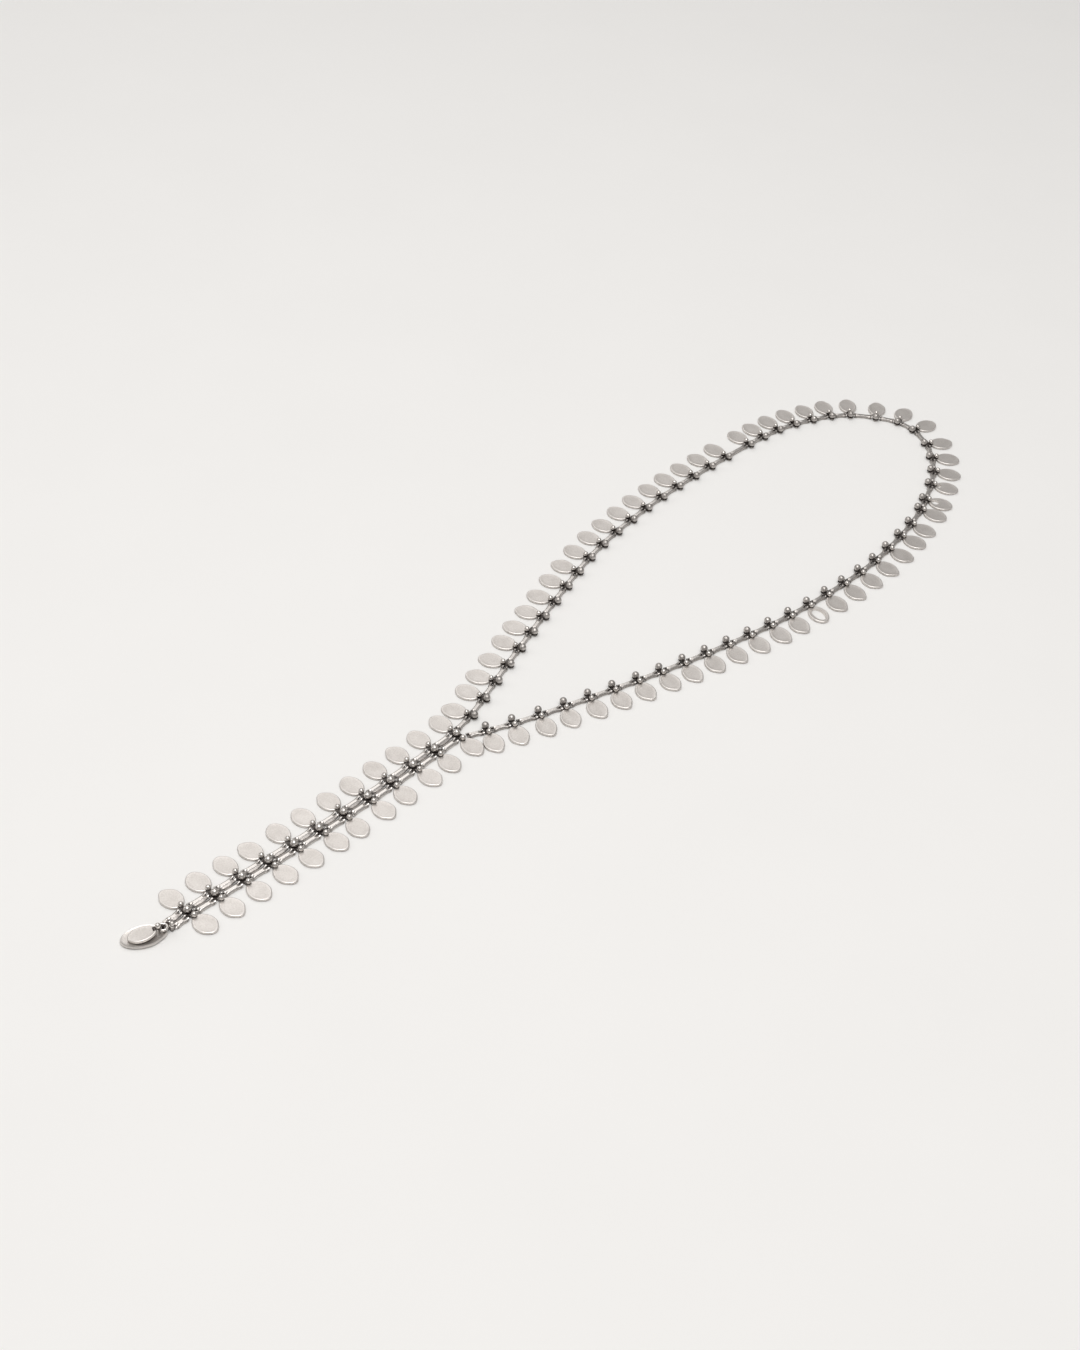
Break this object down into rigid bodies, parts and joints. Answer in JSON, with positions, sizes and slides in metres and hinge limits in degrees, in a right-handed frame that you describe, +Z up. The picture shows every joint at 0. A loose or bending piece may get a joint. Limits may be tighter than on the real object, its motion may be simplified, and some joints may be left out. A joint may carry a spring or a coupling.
{
  "type": "y-necklace",
  "caption": "Silver Y necklace of oval leaves and beads: a neck loop with leaves on its outer side and a drop with leaves in pairs, ending in a dished leaf.",
  "frame": {"origin": "middle of the necklace's outline, on the table it lies on", "axes": "+Y from the drop's end towards the far side of the neck loop, +Z up from the table, +X to the right"},
  "size_m": [0.0848, 0.3374, 0.0041],
  "materials": {
    "satin_silver": "satin silver, oxidised in the recesses",
    "bright_silver": "polished silver, oxidised in the recesses"
  },
  "bodies": {
    "root": {"tail_pair_01": "satin_silver", "tail_pair_02": "satin_silver", "tail_pair_03": "satin_silver", "tail_pair_04": "satin_silver", "tail_pair_05": "satin_silver", "tail_pair_06": "satin_silver", "tail_pair_07": "satin_silver", "tail_pair_08": "satin_silver", "tail_pair_09": "satin_silver", "tail_pair_10": "satin_silver", "tail_pair_11": "satin_silver", "tail_pair_12": "satin_silver", "loop_part_01": "satin_silver", "loop_part_02": "satin_silver", "loop_part_03": "satin_silver", "loop_part_04": "satin_silver", "loop_part_05": "satin_silver", "loop_part_06": "satin_silver", "loop_part_07": "satin_silver", "loop_part_08": "satin_silver", "loop_part_09": "satin_silver", "loop_part_10": "satin_silver", "loop_part_11": "satin_silver", "loop_part_12": "satin_silver", "loop_part_13": "satin_silver", "loop_part_14": "satin_silver", "loop_part_15": "satin_silver", "loop_part_16": "satin_silver", "loop_part_17": "satin_silver", "loop_part_18": "satin_silver", "terminal_plate": "satin_silver", "terminal_leaf": "satin_silver", "tail_link_left_01": "bright_silver", "tail_link_left_02": "bright_silver", "tail_link_left_03": "bright_silver", "tail_link_left_04": "bright_silver", "tail_link_left_05": "bright_silver", "tail_link_left_06": "bright_silver", "tail_link_left_07": "bright_silver", "tail_link_left_08": "bright_silver", "tail_link_left_09": "bright_silver", "tail_link_left_10": "bright_silver", "tail_link_left_11": "bright_silver", "tail_link_left_12": "bright_silver", "tail_link_right_01": "bright_silver", "tail_link_right_02": "bright_silver", "tail_link_right_03": "bright_silver", "tail_link_right_04": "bright_silver", "tail_link_right_05": "bright_silver", "tail_link_right_06": "bright_silver", "tail_link_right_07": "bright_silver", "tail_link_right_08": "bright_silver", "tail_link_right_09": "bright_silver", "tail_link_right_10": "bright_silver", "tail_link_right_11": "bright_silver", "tail_link_right_12": "bright_silver", "terminal_eye": "bright_silver"}
  },
  "joints": []
}
